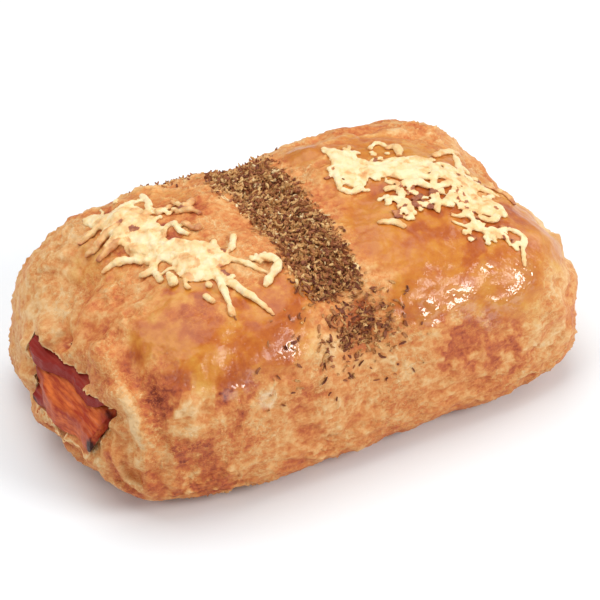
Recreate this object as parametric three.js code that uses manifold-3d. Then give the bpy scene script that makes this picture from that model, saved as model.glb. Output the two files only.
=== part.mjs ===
// A ham and cheese pastry: a plump puff pastry parcel, open at both short ends, with folded ham slices
// running through it, two patches of melted grated cheese on top and a band of dried herbs across the middle.
// X runs along the pastry, Y across it and Z up. The base lies at Z = 0. Lengths are in millimetres.
import * as THREE from 'three';
import { mergeVertices } from 'three/addons/utils/BufferGeometryUtils.js';
import Module from 'manifold-3d';

const wasm = await Module();
wasm.setup();

// The crust's outer size.
const LENGTH = 130;
const WIDTH = 82;
const HEIGHT = 49;
const GIRTH_LEVEL = 14; // the height at which the sides stand out furthest
const BASE_SINK = 0.9; // how much of the rounded underside is flattened by the baking tray

// How square the crust is: 2 is an ellipse, and a larger value is squarer.
const PLAN_SQUARENESS = 4.9;
const END_SQUARENESS = 2.85;
const SIDE_SQUARENESS = 3.2;
const BASE_SQUARENESS = 3.6;

// Faces along, across and up the crust.
const CRUST_CELLS = [34, 22, 10];
const CELL_EVENNESS = 0.25;
const LEFT_END_DETAIL = 0.16; // how far the faces crowd towards the folded left end

// The dip across the middle, where the filling stops between two portions.
const DIP = { x: -3, lean: 0.05, halfWidth: 8, top: 2.6, side: 1.3 };

// Rises and hollows of the baked surface: centre, reach and height.
const SWELLS = [
  { name: 'left crown', at: [-34, -6, 48], reach: 24, rise: 1.0 },
  { name: 'right crown', at: [30, -2, 48], reach: 24, rise: 1.6 },
  { name: 'right back hump', at: [24, 34, 38], reach: 15, rise: -0.2 },
  { name: 'right back corner', at: [53, 31, 36], reach: 12, rise: 1.5 },
  { name: 'right end shoulder', at: [59, 0, 37], reach: 15, rise: -2.2 },
  { name: 'left back corner', at: [-60, 30, 24], reach: 15, rise: -0.7 },
  { name: 'left back knob', at: [-43, 29, 43], reach: 8, rise: 1.7 },
  { name: 'left back edge', at: [-51, 31, 38], reach: 8, rise: -1.5 },
  { name: 'left front corner', at: [-54, -36, 12], reach: 12, rise: -1.0 },
  { name: 'blister', at: [14, 18, 47], reach: 4.5, rise: 1.8 },
  { name: 'back blister', at: [-24, 30, 45], reach: 5, rise: 0.7 },
  { name: 'back hollow', at: [8, 31, 43], reach: 9, rise: -1.2 },
  { name: 'right end hollow', at: [61, -20, 29], reach: 10, rise: -1.3 },
  { name: 'golden pocket', at: [-61.5, -0.5, 32.5], reach: 3, rise: -2.4 },
  { name: 'gap over the ham', at: [-62, -12, 31], reach: 3.4, rise: -2.4 },
  { name: 'lip arch', at: [-61, -11, 36], reach: 3.6, rise: 1.6 },
  { name: 'front pocket', at: [-62.5, -25, 28], reach: 5.5, rise: -1.8 },
];

// Folds of dough: the line that each follows, its reach to either side and its height.
const FOLDS = [
  { name: 'flap over the ham', from: [-58, -14, 37.5], to: [-58.5, -30, 31], reach: 2.8, rise: 2.1 },
  { name: 'groove behind the flap', from: [-53.5, -17, 40.5], to: [-56, -31, 34], reach: 3, rise: -1.3 },
  { name: 'top lip', from: [-62.5, 9, 31.5], to: [-62, -4, 30.5], reach: 2.4, rise: 1.3 },
  { name: 'corner pleat', from: [-57.5, -34.5, 26], to: [-58, -34, 12], reach: 2.2, rise: 1.4 },
  { name: 'corner groove', from: [-60.5, -31, 26], to: [-60.2, -32, 14], reach: 2, rise: -1.4 },
  { name: 'second pleat', from: [-51, -38, 26], to: [-52, -38, 12], reach: 2.4, rise: 0.9 },
  { name: 'front tuck', from: [-47.5, -36, 34], to: [-47, -38.5, 25], reach: 2.4, rise: 1.1 },
  { name: 'bottom lip', from: [-65.5, 6, 10], to: [-62.5, -27, 16], reach: 3.4, rise: 1.7 },
  { name: 'side lip', from: [-65, 11, 26], to: [-65.5, 10, 13], reach: 2.8, rise: 1.4 },
  { name: 'end crest', from: [-57, 23, 37], to: [-47, 16, 43.5], reach: 2.6, rise: 1.0 },
  { name: 'end hollow', from: [-58, 12, 38], to: [-51, 6, 42], reach: 3.4, rise: -0.8 },
  { name: 'back seam', from: [16, 31, 44], to: [52, 22, 41], reach: 2.6, rise: 1.1 },
  { name: 'back seam hollow', from: [20, 26, 46], to: [46, 18, 45], reach: 2.6, rise: -0.7 },
  { name: 'right tuck', from: [45, -40, 16], to: [53, -37.5, 20.5], reach: 2.2, rise: -1.2 },
  { name: 'right flap', from: [50, -39, 27], to: [56, -36.5, 15], reach: 2.6, rise: 1.2 },
  { name: 'right end flap', from: [64, -20, 30], to: [64, 18, 32], reach: 3, rise: 1.4 },
];

// Slow waves over the whole crust.
const WAVES = [
  { rise: 0.45, along: 0.11, across: 0.14, up: 0.05, phase: 1.3 },
  { rise: 0.35, along: 0.21, across: -0.17, up: 0.13, phase: 0.2 },
  { rise: 0.22, along: -0.33, across: 0.27, up: 0.31, phase: 2.1 },
];

// Gathers of dough round the opening at each end.
const PLEATS = { count: 11, rise: 0.9, inner: 9, outer: 30, depth: 16 };
const OPENINGS = [
  { side: -1, y: -11, z: 24, halfWidth: 20, halfHeight: 7 },
  { side: 1, y: -6, z: 22, halfWidth: 18, halfHeight: 5 },
];
const LIP = { rise: 1.1, width: 0.35 };

// Ham slices, from the top down: folded strips that bend down where they leave the left opening.
// The corner is the share that the slice's back corner is narrower there, and the slant is how much
// less its front edge comes out than its back edge.
const HAM_RIGHT_END = 60.5;
// The crust closes on the right end.
const PINCH = { start: 46, width: 0.7, level: 24, height: 0.5, thick: 0.42 };
const CRUST_GAP = 0.6;
const HAM_RAGGED = 0.8; // how far the torn ends swing in and out
const HAM_CURL = { middle: -7, flat: 3, reach: 15, rise: 2.3 }; // both long edges of a slice rise
const HAM_TWIST = { middle: -7, reach: 16, share: 0.25 }; // the front edges hang lower than the back ones
const BEND_START = -57;
const DROOP_POWER = 1.6;
const SLICES = [
  {
    name: 'ham_top', z: 28.7, y: -6.5, halfWidth: 18, thick: 2.4,
    out: 1.8, slant: 5, droop: 5, corner: 0,
  },
  {
    name: 'ham_middle', z: 25.1, y: -7.6, halfWidth: 17, thick: 3.8,
    out: 2.4, slant: 0.6, droop: 7.6, corner: 0.15,
  },
  {
    name: 'ham_bottom', z: 21.7, y: -2.8, halfWidth: 8.8, thick: 1.6,
    out: 2.6, slant: 2, droop: 9.4, corner: 0,
  },
];
const HAM_STATIONS = [56, 51, 46, 0, -52, -57, -60, -62.5]; // places along a slice, between its two ends
const HAM_POINTS = 8; // points across each face of a slice
const HAM_WAVE = { rise: 0.6, across: 0.24, along: 1.4, phase: 1.1 };

// Melted cheese. Each patch has pools of melted cheese, [x, y, half length, half width, turn in degrees],
// and shreds that lie in and out of them, [start x, start y, heading in degrees, length, bend in degrees].
const SHRED = { radius: 1.15, tip: 0.55, stations: 5, sides: 4, sink: 0.35, lift: 0.9 };
const SCATTER = { long: [8, 13], bend: 90, swing: 55 };
const CHEESE_GAP = 0.3;
const POOL = { thick: 1.2, lobes: 3, lobeShare: 0.2 };
const CHEESES = [
  {
    name: 'cheese_left',
    seed: 7,
    pools: [
      [-37, 18, 7.5, 5.5, 120],
      [-35, 7, 8, 4.6, 75],
      [-30, -6, 9, 6, 110],
    ],
    shreds: [
      [-27, -12, -104, 17, 8],
      [-28, -17, -52, 14, -8],
      [-25, -8, -72, 14, 40],
      [-22, -13, -28, 14, -120],
      [-34, -3, 146, 16, -14],
      [-34, -9, 172, 9, 30],
      [-33, -10, -122, 11, 10],
      [-49, 13, 35, 14, 30],
      [-50, 8, 16, 13, -16],
      [-44, 22, -30, 14, 30],
    ],
    scattered: 13,
  },
  {
    name: 'cheese_right',
    seed: 23,
    pools: [
      [20, 7, 9, 5.5, 100],
      [30, 1, 8, 6, 0],
      [41, -7, 9, 5.5, -70],
      [42, -19, 6.5, 5, -20],
    ],
    shreds: [
      [42, 5, 4, 14, 12],
      [51, 6, -122, 20, 26],
      [37, -25, -6, 15, -84],
      [23, -4, -125, 12, -30],
      [28, 6, 70, 11, -30],
      [33, -5, -95, 11, 50],
      [46, -16, -10, 9, -40],
    ],
    scattered: 14,
  },
];

// Dried herb flakes, placed by their place along the pastry and their angle round its long axis.
const HERBS = {
  seed: 5,
  count: 50,
  x: -3,
  lean: 0.06,
  halfWidth: 9,
  angles: [-46, 60],
  stray: 8,
  strayAngles: [60, 80],
  size: [3.6, 2, 0.8],
  bed: 0.7,
  clearOfCheese: 3.4,
};

const SLIVER = 0.03; // faces flatter or narrower than this are merged with their neighbours
const UP = new THREE.Vector3(0, 0, 1);
const toRadians = THREE.MathUtils.degToRad;

// A repeatable random number from 0 to 1, by the mulberry32 rule.
function makeRandom(seed) {
  let state = seed;
  return () => {
    state = (state + 0x6d2b79f5) >>> 0;
    let t = Math.imul(state ^ (state >>> 15), state | 1);
    t ^= t + Math.imul(t ^ (t >>> 7), t | 61);
    return ((t ^ (t >>> 14)) >>> 0) / 4294967296;
  };
}

function bell(distance) {
  return Math.exp(-distance * distance);
}

function smooth(low, high, value) {
  const t = THREE.MathUtils.clamp((value - low) / (high - low), 0, 1);
  return t * t * (3 - 2 * t);
}

// A point of the unit cube's surface, carried to the plain cushion form.
function cushionPoint(u, v, w) {
  const plan = Math.pow(Math.abs(u) ** PLAN_SQUARENESS + Math.abs(v) ** PLAN_SQUARENESS, 1 / PLAN_SQUARENESS);
  const alongShare = (u * u) / Math.max(u * u + v * v, 1e-9);
  const above = THREE.MathUtils.lerp(SIDE_SQUARENESS, END_SQUARENESS, alongShare);
  const power = w > 0 ? above : BASE_SQUARENESS;
  const scale = Math.pow(plan ** power + Math.abs(w) ** power, 1 / power);
  const rise = w > 0 ? HEIGHT - GIRTH_LEVEL : GIRTH_LEVEL;
  const z = GIRTH_LEVEL + (w / scale) * rise;
  return new THREE.Vector3(((u / scale) * LENGTH) / 2, ((v / scale) * WIDTH) / 2, z);
}

function dipAt(p) {
  const x = p.x - DIP.x - DIP.lean * p.y;
  const depth = THREE.MathUtils.lerp(DIP.side, DIP.top, smooth(24, 44, p.z));
  return -depth * bell(x / DIP.halfWidth) * smooth(2, 14, p.z);
}

function swellsAt(p) {
  return SWELLS.reduce((sum, swell) => {
    const away = p.distanceTo(new THREE.Vector3(...swell.at));
    return sum + swell.rise * bell(away / swell.reach);
  }, 0);
}

function foldsAt(p) {
  return FOLDS.reduce((sum, fold) => {
    const line = new THREE.Line3(new THREE.Vector3(...fold.from), new THREE.Vector3(...fold.to));
    const nearest = line.closestPointToPoint(p, true, new THREE.Vector3());
    return sum + fold.rise * bell(p.distanceTo(nearest) / fold.reach);
  }, 0);
}

function wavesAt(p) {
  const sum = WAVES.reduce((total, wave) => {
    const turn = wave.along * p.x + wave.across * p.y + wave.up * p.z + wave.phase;
    return total + wave.rise * Math.sin(turn);
  }, 0);
  return sum * smooth(0, 8, p.z);
}

// Pleats fan out from an opening, with a raised lip close round it.
function gathersAt(p) {
  return OPENINGS.reduce((sum, opening) => {
    const inward = LENGTH / 2 - opening.side * p.x;
    const y = (p.y - opening.y) / opening.halfWidth;
    const z = (p.z - opening.z) / opening.halfHeight;
    const turn = Math.atan2(p.z - opening.z, (p.y - opening.y) * 0.6);
    const away = Math.hypot(p.y - opening.y, p.z - opening.z);
    const fade = bell(inward / PLEATS.depth) * smooth(PLEATS.inner, PLEATS.inner + 5, away) * smooth(0, 7, p.z);
    const pleat = Math.sin(turn * PLEATS.count + inward * 0.12) * (1 - smooth(18, PLEATS.outer, away));
    const lip = LIP.rise * bell((Math.hypot(y, z) - 1.3) / LIP.width) * bell(inward / 9);
    return sum + PLEATS.rise * pleat * fade + lip;
  }, 0);
}

// The bed of herbs is a slight rise of its own across the dip.
function herbBedAt(p) {
  const angle = THREE.MathUtils.radToDeg(Math.atan2(-p.y, p.z - GIRTH_LEVEL));
  const [first, last] = HERBS.angles;
  const across = bell((p.x - HERBS.x - HERBS.lean * p.y) / HERBS.halfWidth);
  return HERBS.bed * across * smooth(first - 8, first, angle) * (1 - smooth(last - 14, last, angle));
}

function reliefAt(p) {
  return dipAt(p) + swellsAt(p) + foldsAt(p) + wavesAt(p) + gathersAt(p) + herbBedAt(p);
}

// A shape with only its positions left and its shared corners merged.
function welded(geometry) {
  geometry.deleteAttribute('normal');
  geometry.deleteAttribute('uv');
  return mergeVertices(geometry, 1e-4);
}

const weldedBox = (cells) => welded(new THREE.BoxGeometry(2, 2, 2, ...cells));
const weldedSphere = () => welded(new THREE.IcosahedronGeometry(1, 2));

function moveAlongNormals(geometry, distanceAt) {
  geometry.computeVertexNormals();
  const { position, normal } = geometry.attributes;
  const p = new THREE.Vector3();
  const n = new THREE.Vector3();
  for (let i = 0; i < position.count; i++) {
    p.fromBufferAttribute(position, i);
    n.fromBufferAttribute(normal, i);
    p.addScaledVector(n, distanceAt(p));
    position.setXYZ(i, p.x, p.y, p.z);
  }
  geometry.deleteAttribute('normal');
  return geometry;
}

function flattenBase(geometry) {
  const { position } = geometry.attributes;
  for (let i = 0; i < position.count; i++) {
    position.setZ(i, Math.max(position.getZ(i) - BASE_SINK, 0));
  }
  return geometry;
}

function crustGeometry() {
  const geometry = weldedBox(CRUST_CELLS);
  const { position } = geometry.attributes;
  const even = (t) => t * (1 - CELL_EVENNESS + CELL_EVENNESS * t * t);
  const crowd = (t) => t - LEFT_END_DETAIL * (1 - t * t);
  for (let i = 0; i < position.count; i++) {
    const p = cushionPoint(even(crowd(position.getX(i))), even(position.getY(i)), position.getZ(i));
    position.setXYZ(i, p.x, p.y, p.z);
  }
  moveAlongNormals(geometry, reliefAt);
  return flattenBase(geometry);
}

function toSolid(geometry) {
  const vertProperties = new Float32Array(geometry.attributes.position.array);
  const triVerts = new Uint32Array(geometry.index.array);
  return new wasm.Manifold(new wasm.Mesh({ numProp: 3, vertProperties, triVerts }));
}

// A loft whose faces point out, whichever way its rings run.
function outward(rings) {
  const solid = toSolid(loft(rings));
  return solid.volume() < 0 ? toSolid(loft(rings.reverse())) : solid;
}

function toGeometry(solid) {
  const mesh = solid.simplify(SLIVER).getMesh();
  const geometry = new THREE.BufferGeometry();
  geometry.setAttribute('position', new THREE.BufferAttribute(mesh.vertProperties, 3));
  geometry.setIndex(new THREE.BufferAttribute(mesh.triVerts, 1));
  return geometry;
}

function largestBody(solid) {
  return solid.decompose().reduce((best, body) => (body.volume() > best.volume() ? body : best));
}

function joined(solids) {
  return solids.reduce((sum, solid) => sum.add(solid));
}

// A closed skin through rings of points, with a fan over each end.
function loft(rings) {
  const points = [];
  const faces = [];
  const size = rings[0].length;
  rings.forEach((ring) => ring.forEach((p) => points.push(p.x, p.y, p.z)));
  for (let r = 0; r + 1 < rings.length; r++) {
    for (let i = 0; i < size; i++) {
      const a = r * size + i;
      const b = r * size + ((i + 1) % size);
      faces.push(a, b, b + size, a, b + size, a + size);
    }
  }
  [0, rings.length - 1].forEach((r) => {
    const middle = rings[r].reduce((sum, p) => sum.add(p), new THREE.Vector3()).divideScalar(size);
    const hub = points.length / 3;
    points.push(middle.x, middle.y, middle.z);
    for (let i = 0; i < size; i++) {
      const a = r * size + i;
      const b = r * size + ((i + 1) % size);
      faces.push(...(r === 0 ? [hub, b, a] : [hub, a, b]));
    }
  });
  const geometry = new THREE.BufferGeometry();
  geometry.setAttribute('position', new THREE.Float32BufferAttribute(points, 3));
  geometry.setIndex(faces);
  return geometry;
}

// How far past the bend x is, how far the slice has dropped there and how steeply.
function bendAt(slice, x, y) {
  const reach = BEND_START + LENGTH / 2 + slice.out;
  const past = Math.max(BEND_START - x, 0) / reach;
  const twist = THREE.MathUtils.clamp((HAM_TWIST.middle - y) / HAM_TWIST.reach, -1, 1);
  const droop = slice.droop * (1 + HAM_TWIST.share * twist);
  const slope = (DROOP_POWER * droop * past ** (DROOP_POWER - 1)) / reach;
  return { past, drop: droop * past ** DROOP_POWER, slope };
}

// One slice of ham, or with a gap above 0 the space that it takes up in the crust.
function sliceSolid(slice, gap) {
  const left = -LENGTH / 2 - slice.out - gap;
  const right = gap > 0 ? LENGTH / 2 + PLEATS.rise + LIP.rise : HAM_RIGHT_END;
  const rings = [right, ...HAM_STATIONS, left].map((straight) => {
    const t = (HAM_RIGHT_END - straight) / LENGTH;
    const outside = Math.min(bendAt(slice, straight, 0).past, 1);
    const pinched = smooth(PINCH.start, HAM_RIGHT_END, straight);
    const narrow = (1 + 0.05 * Math.sin(7 * t + slice.z) - 0.12 * outside) * (1 - (1 - PINCH.width) * pinched);
    const level = THREE.MathUtils.lerp(slice.z, PINCH.level + (slice.z - PINCH.level) * PINCH.height, pinched);
    const ring = [];
    for (const face of [-1, 1]) {
      for (let i = 0; i < HAM_POINTS; i++) {
        const across = face * ((2 * i) / (HAM_POINTS - 1) - 1);
        const cut = across > 0 ? 1 - slice.corner * outside ** 2 : 1;
        const y = slice.y + across * (slice.halfWidth * narrow * cut + gap);
        const aside = Math.max(Math.abs(y - HAM_CURL.middle) - HAM_CURL.flat, 0) / HAM_CURL.reach;
        const curl = HAM_CURL.rise * aside ** 2 * (1 - pinched);
        const torn = HAM_RAGGED * (Math.sin(0.3 * y + slice.z) + across * across);
        const x = straight + outside * (torn + (gap > 0 ? 0 : (slice.slant * (1 - across)) / 2));
        const { drop, slope } = bendAt(slice, x, y);
        const wave = HAM_WAVE.rise * Math.sin(HAM_WAVE.across * y + HAM_WAVE.along * t + HAM_WAVE.phase);
        const thick = THREE.MathUtils.lerp(slice.thick, slice.thick * PINCH.thick, pinched);
        const half = ((thick / 2) * Math.sqrt(1 - 0.72 * across ** 4) + gap) * Math.hypot(1, slope);
        ring.push(new THREE.Vector3(x, y, level + wave + curl - drop - face * half));
      }
    }
    return ring;
  });
  return outward(rings);
}

// Where a ray from outside first meets the crust.
function makeSurface(geometry) {
  const mesh = new THREE.Mesh(geometry, new THREE.MeshBasicMaterial({ side: THREE.DoubleSide }));
  const caster = new THREE.Raycaster();
  const meet = (origin, direction) => {
    caster.set(origin, direction);
    const hit = caster.intersectObject(mesh)[0];
    return { point: hit.point, normal: hit.face.normal.clone() };
  };
  return {
    above: (x, y) => meet(new THREE.Vector3(x, y, 2 * HEIGHT), new THREE.Vector3(0, 0, -1)),
    around: (x, degrees) => {
      const out = new THREE.Vector3(0, -Math.sin(toRadians(degrees)), Math.cos(toRadians(degrees)));
      const origin = new THREE.Vector3(x, 0, GIRTH_LEVEL).addScaledVector(out, 2 * WIDTH);
      return meet(origin, out.negate());
    },
  };
}

// The shreds of a patch: the placed ones, then those strewn over its pools, mostly along their length.
function shredsOf(cheese) {
  const random = makeRandom(cheese.seed);
  const strewn = Array.from({ length: cheese.scattered }, (_, i) => {
    const [x, y, halfLong, halfWide, turn] = cheese.pools[i % cheese.pools.length];
    const along = (random() * 2 - 1) * halfLong * 0.8;
    const aside = (random() * 2 - 1) * halfWide * 0.8;
    const heading = turn + (random() * 2 - 1) * SCATTER.swing;
    const long = THREE.MathUtils.lerp(...SCATTER.long, random());
    const bend = (random() * 2 - 1) * SCATTER.bend;
    const middle = new THREE.Vector2(along, aside).rotateAround(new THREE.Vector2(), toRadians(turn));
    const back = new THREE.Vector2(long / 2, 0).rotateAround(new THREE.Vector2(), toRadians(heading + bend / 2));
    return [x + middle.x - back.x, y + middle.y - back.y, heading, long, bend];
  });
  return [...cheese.shreds, ...strewn];
}

// Points in plan along a shred, which turns steadily by its bend.
function shredLine([x, y, firstHeading, long, bend]) {
  const steps = SHRED.stations - 1;
  const line = [new THREE.Vector2(x, y)];
  for (let i = 0; i < steps; i++) {
    const heading = toRadians(firstHeading + (bend * i) / steps);
    const step = new THREE.Vector2(Math.cos(heading), Math.sin(heading)).multiplyScalar(long / steps);
    line.push(line[i].clone().add(step));
  }
  return line;
}

// A shred follows the crust; its level lifts it over the shreds that lie below it.
function shredSolid(shred, level, surface) {
  const line = shredLine(shred);
  const rings = line.map((p, i) => {
    const before = line[Math.max(i - 1, 0)];
    const after = line[Math.min(i + 1, line.length - 1)];
    const side = after.clone().sub(before).rotateAround(new THREE.Vector2(), Math.PI / 2).normalize();
    const share = Math.sin((Math.PI * (i + 0.6)) / (line.length + 0.2));
    const radius = THREE.MathUtils.lerp(SHRED.tip, SHRED.radius, share);
    const { point } = surface.above(p.x, p.y);
    point.z += radius - SHRED.sink + level * SHRED.lift * share;
    return Array.from({ length: SHRED.sides }, (_, k) => {
      const turn = (2 * Math.PI * (k + 0.5)) / SHRED.sides;
      const out = Math.cos(turn) * radius * 1.2;
      return new THREE.Vector3(point.x + side.x * out, point.y + side.y * out, point.z + Math.sin(turn) * radius);
    });
  });
  return outward(rings);
}

// A pool of melted cheese: a low lobed dome that follows the crust.
function poolSolid([x, y, halfLong, halfWide, turn], surface) {
  const geometry = weldedSphere();
  const { position } = geometry.attributes;
  const p = new THREE.Vector3();
  for (let i = 0; i < position.count; i++) {
    p.fromBufferAttribute(position, i);
    const height = POOL.thick * p.z;
    const swell = 1 + POOL.lobeShare * Math.sin(POOL.lobes * Math.atan2(p.y, p.x) + x);
    p.set(p.x * halfLong * swell, p.y * halfWide * swell, 0).applyAxisAngle(UP, toRadians(turn));
    const { point } = surface.above(x + p.x, y + p.y);
    position.setXYZ(i, point.x, point.y, point.z + CHEESE_GAP + height);
  }
  return toSolid(geometry);
}

function cheeseSolid(cheese, surface, keepOut) {
  const pools = cheese.pools.map((pool) => poolSolid(pool, surface));
  const shreds = shredsOf(cheese).map((shred, i) => shredSolid(shred, i < cheese.shreds.length ? 0 : i % 2, surface));
  return largestBody(joined([...pools, ...shreds]).subtract(keepOut));
}

// A dried herb flake: a thin pointed leaf scrap, a little bent, half sunk in the crust.
function flakeSolid(spot, turn, tilt, stretch) {
  const [long, wide, thick] = HERBS.size;
  const rings = [-1, 1].map((face) =>
    Array.from({ length: 4 }, (_, k) => {
      const angle = (k / 4) * 2 * Math.PI;
      const x = (Math.cos(angle) * long * stretch) / 2;
      const y = (Math.sin(angle) * wide) / 2;
      const bent = 0.25 * Math.abs(Math.cos(angle));
      return new THREE.Vector3(x, y, (face * thick) / 2 + bent);
    }),
  );
  const toNormal = new THREE.Quaternion().setFromUnitVectors(UP, spot.normal);
  const pose = toNormal.multiply(new THREE.Quaternion().setFromEuler(new THREE.Euler(tilt, tilt * 0.6, turn, 'ZYX')));
  const centre = spot.point.clone().addScaledVector(spot.normal, thick * 0.2);
  rings.flat().forEach((p) => p.applyQuaternion(pose).add(centre));
  return outward(rings);
}

// Flakes spread evenly over the band by a low-discrepancy rule, with a few strays below it.
function flakeSolids(surface, cheeseLines) {
  const random = makeRandom(HERBS.seed);
  const golden = 0.618034;
  const solids = [];
  for (let i = 0; i < HERBS.count + HERBS.stray; i++) {
    const stray = i >= HERBS.count;
    const [first, last] = stray ? HERBS.strayAngles : HERBS.angles;
    const share = stray ? (i - HERBS.count + 0.5) / HERBS.stray : (i + 0.5) / HERBS.count;
    const degrees = THREE.MathUtils.lerp(first, last, share);
    const spread = ((i * golden) % 1) * 2 - 1 + (random() - 0.5) * 0.3;
    const y = -WIDTH * 0.5 * Math.sin(toRadians(degrees));
    const x = HERBS.x + HERBS.lean * y + spread * HERBS.halfWidth * (stray ? 1.4 : 1);
    const spot = surface.around(x, degrees);
    const solid = flakeSolid(spot, random() * Math.PI, (random() - 0.5) * 0.7, 0.8 + 0.4 * random());
    const free = cheeseLines.every((p) => Math.hypot(p.x - spot.point.x, p.y - spot.point.y) > HERBS.clearOfCheese);
    if (free) solids.push(solid);
  }
  return solids;
}

const materials = {
  crust: new THREE.MeshStandardMaterial({ color: 0xd08a3c, roughness: 0.45, metalness: 0 }),
  ham: new THREE.MeshStandardMaterial({ color: 0xb04a2c, roughness: 0.4, metalness: 0 }),
  cheese: new THREE.MeshStandardMaterial({ color: 0xf2dc9a, roughness: 0.4, metalness: 0 }),
};

function addPiece(group, name, solid, material) {
  const mesh = new THREE.Mesh(toGeometry(solid), material);
  mesh.name = name;
  group.add(mesh);
}

const pastry = new THREE.Group();
const crustSkin = crustGeometry();
const surface = makeSurface(crustSkin);
const keepOut = toSolid(moveAlongNormals(crustSkin.clone(), () => CHEESE_GAP));

const channel = joined(SLICES.map((slice) => sliceSolid(slice, CRUST_GAP)));
const cheeseLines = CHEESES.flatMap((cheese) => shredsOf(cheese).flatMap(shredLine));
const flakes = flakeSolids(surface, cheeseLines);
const crust = joined([toSolid(crustSkin), ...flakes]).subtract(channel);
addPiece(pastry, 'crust', largestBody(crust), materials.crust);

SLICES.forEach((slice) => addPiece(pastry, slice.name, sliceSolid(slice, 0), materials.ham));
CHEESES.forEach((cheese) => addPiece(pastry, cheese.name, cheeseSolid(cheese, surface, keepOut), materials.cheese));

export default pastry;
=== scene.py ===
# A ham and cheese pastry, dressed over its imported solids.
# Lengths in the dictionaries are millimetres in the part's own frame; the meshes are in metres.
import math

import bmesh
import bpy
import numpy as np
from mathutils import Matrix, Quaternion, Vector, kdtree, noise
from mathutils.bvhtree import BVHTree


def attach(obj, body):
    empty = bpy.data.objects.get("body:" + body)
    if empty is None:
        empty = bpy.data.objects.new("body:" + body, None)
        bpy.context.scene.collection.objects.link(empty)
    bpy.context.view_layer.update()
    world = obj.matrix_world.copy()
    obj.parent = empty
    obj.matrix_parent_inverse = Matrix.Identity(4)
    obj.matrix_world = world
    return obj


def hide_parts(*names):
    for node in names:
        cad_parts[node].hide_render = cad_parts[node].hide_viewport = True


mm = 0.001
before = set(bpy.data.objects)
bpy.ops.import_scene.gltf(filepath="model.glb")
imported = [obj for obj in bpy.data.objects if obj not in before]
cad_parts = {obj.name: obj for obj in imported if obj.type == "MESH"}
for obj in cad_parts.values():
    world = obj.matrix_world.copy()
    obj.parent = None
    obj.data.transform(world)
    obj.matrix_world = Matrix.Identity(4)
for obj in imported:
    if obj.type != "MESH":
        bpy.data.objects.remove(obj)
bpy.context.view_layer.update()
print("frame loaded:", ", ".join(sorted(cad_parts)))


# small helpers

def bell(distance):
    return np.exp(-distance * distance)


def smooth(low, high, value):
    t = np.clip((value - low) / (high - low), 0, 1)
    return t * t * (3 - 2 * t)


def mix(low, high, share):
    return low + (high - low) * share


def noiseAt(points, size, octaves=3, shift=0.0, stretch=(1, 1, 1)):
    scaled = points / (size * np.array(stretch)) + shift
    return np.array([noise.fractal(p, 1.0, 2.0, octaves) for p in scaled.tolist()])


def seededRandom(seed):  # the mulberry32 rule, with a state of its own
    state = seed

    def draw():
        nonlocal state
        state = (state + 0x6D2B79F5) & 0xFFFFFFFF
        t = ((state ^ (state >> 15)) * (state | 1)) & 0xFFFFFFFF
        t ^= (t + (((t ^ (t >> 7)) * (t | 61)) & 0xFFFFFFFF)) & 0xFFFFFFFF
        return ((t ^ (t >> 14)) & 0xFFFFFFFF) / 4294967296

    return draw


def selectOnly(*pieces):
    bpy.ops.object.select_all(action="DESELECT")
    for piece in pieces:
        piece.select_set(True)
    bpy.context.view_layer.objects.active = pieces[0]


def readVectors(items, name):
    flat = np.empty(len(items) * 3)
    items.foreach_get(name, flat)
    return flat.reshape(-1, 3)


def readPoints(mesh):  # in millimetres
    return readVectors(mesh.vertices, "co") / mm


def writePoints(mesh, points):
    mesh.vertices.foreach_set("co", (points * mm).ravel())
    mesh.update()


def readNormals(mesh):
    return readVectors(mesh.vertex_normals, "vector")


def writeAttribute(mesh, name, values):
    layer = mesh.attributes.new(name, "FLOAT", "POINT")
    layer.data.foreach_set("value", np.clip(values, 0, 1).astype(np.float32))


def denseBox(name, cuts):  # a 2 m cube whose edges are cut (first times second) ways along each axis
    bpy.ops.mesh.primitive_cube_add(size=2, location=(0, 0, 0))
    piece = bpy.context.object
    piece.name = piece.data.name = name
    bpy.ops.object.mode_set(mode="EDIT")
    bpy.ops.mesh.select_mode(type="EDGE")
    for axis, pair in enumerate(cuts):
        for count in [count for count in pair if count > 1]:
            bm = bmesh.from_edit_mesh(piece.data)
            others = [k for k in range(3) if k != axis]
            for edge in bm.edges:
                a, b = edge.verts[0].co, edge.verts[1].co
                edge.select_set(all(abs(a[k] - b[k]) < 1e-6 for k in others))
            bm.select_flush_mode()
            bmesh.update_edit_mesh(piece.data)
            bpy.ops.mesh.subdivide(number_cuts=count - 1)
    bpy.ops.object.mode_set(mode="OBJECT")
    return piece


def applyModifier(piece, kind, **settings):
    selectOnly(piece)
    modifier = piece.modifiers.new(kind.title(), kind)
    for key, value in settings.items():
        setattr(modifier, key, value)
    bpy.ops.object.modifier_apply(modifier=modifier.name)


def smoothShade(piece, degrees=60):
    selectOnly(piece)
    bpy.ops.object.shade_smooth_by_angle(angle=math.radians(degrees))


def turned(x, y, degrees):
    c, s = math.cos(math.radians(degrees)), math.sin(math.radians(degrees))
    return x * c - y * s, x * s + y * c


def newMaterial(name):
    material = bpy.data.materials.new(name)
    material.use_nodes = True
    return material, material.node_tree, material.node_tree.nodes["Principled BSDF"]


def setInputs(node, inputs):  # sockets are linked, plain values are set
    for key, value in inputs.items():
        if isinstance(value, bpy.types.NodeSocket):
            node.id_data.links.new(value, node.inputs[key])
        else:
            node.inputs[key].default_value = value
    return node


def finishPiece(piece, material, replaced=()):
    piece.data.materials.clear()
    piece.data.materials.append(material)
    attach(piece, "root")
    if replaced:
        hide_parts(*replaced)
    print(piece.name, "done:", len(piece.data.polygons), "faces")


# camera, floor and soft light

photoView = {
    "azimuth": -29.7,
    "elevation": 36.2,
    "distance": 800,
    "aimHeight": 20,
    "moveRight": 1.71,
    "moveUp": 0.94,
    "lens": 199.2,
}


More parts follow.
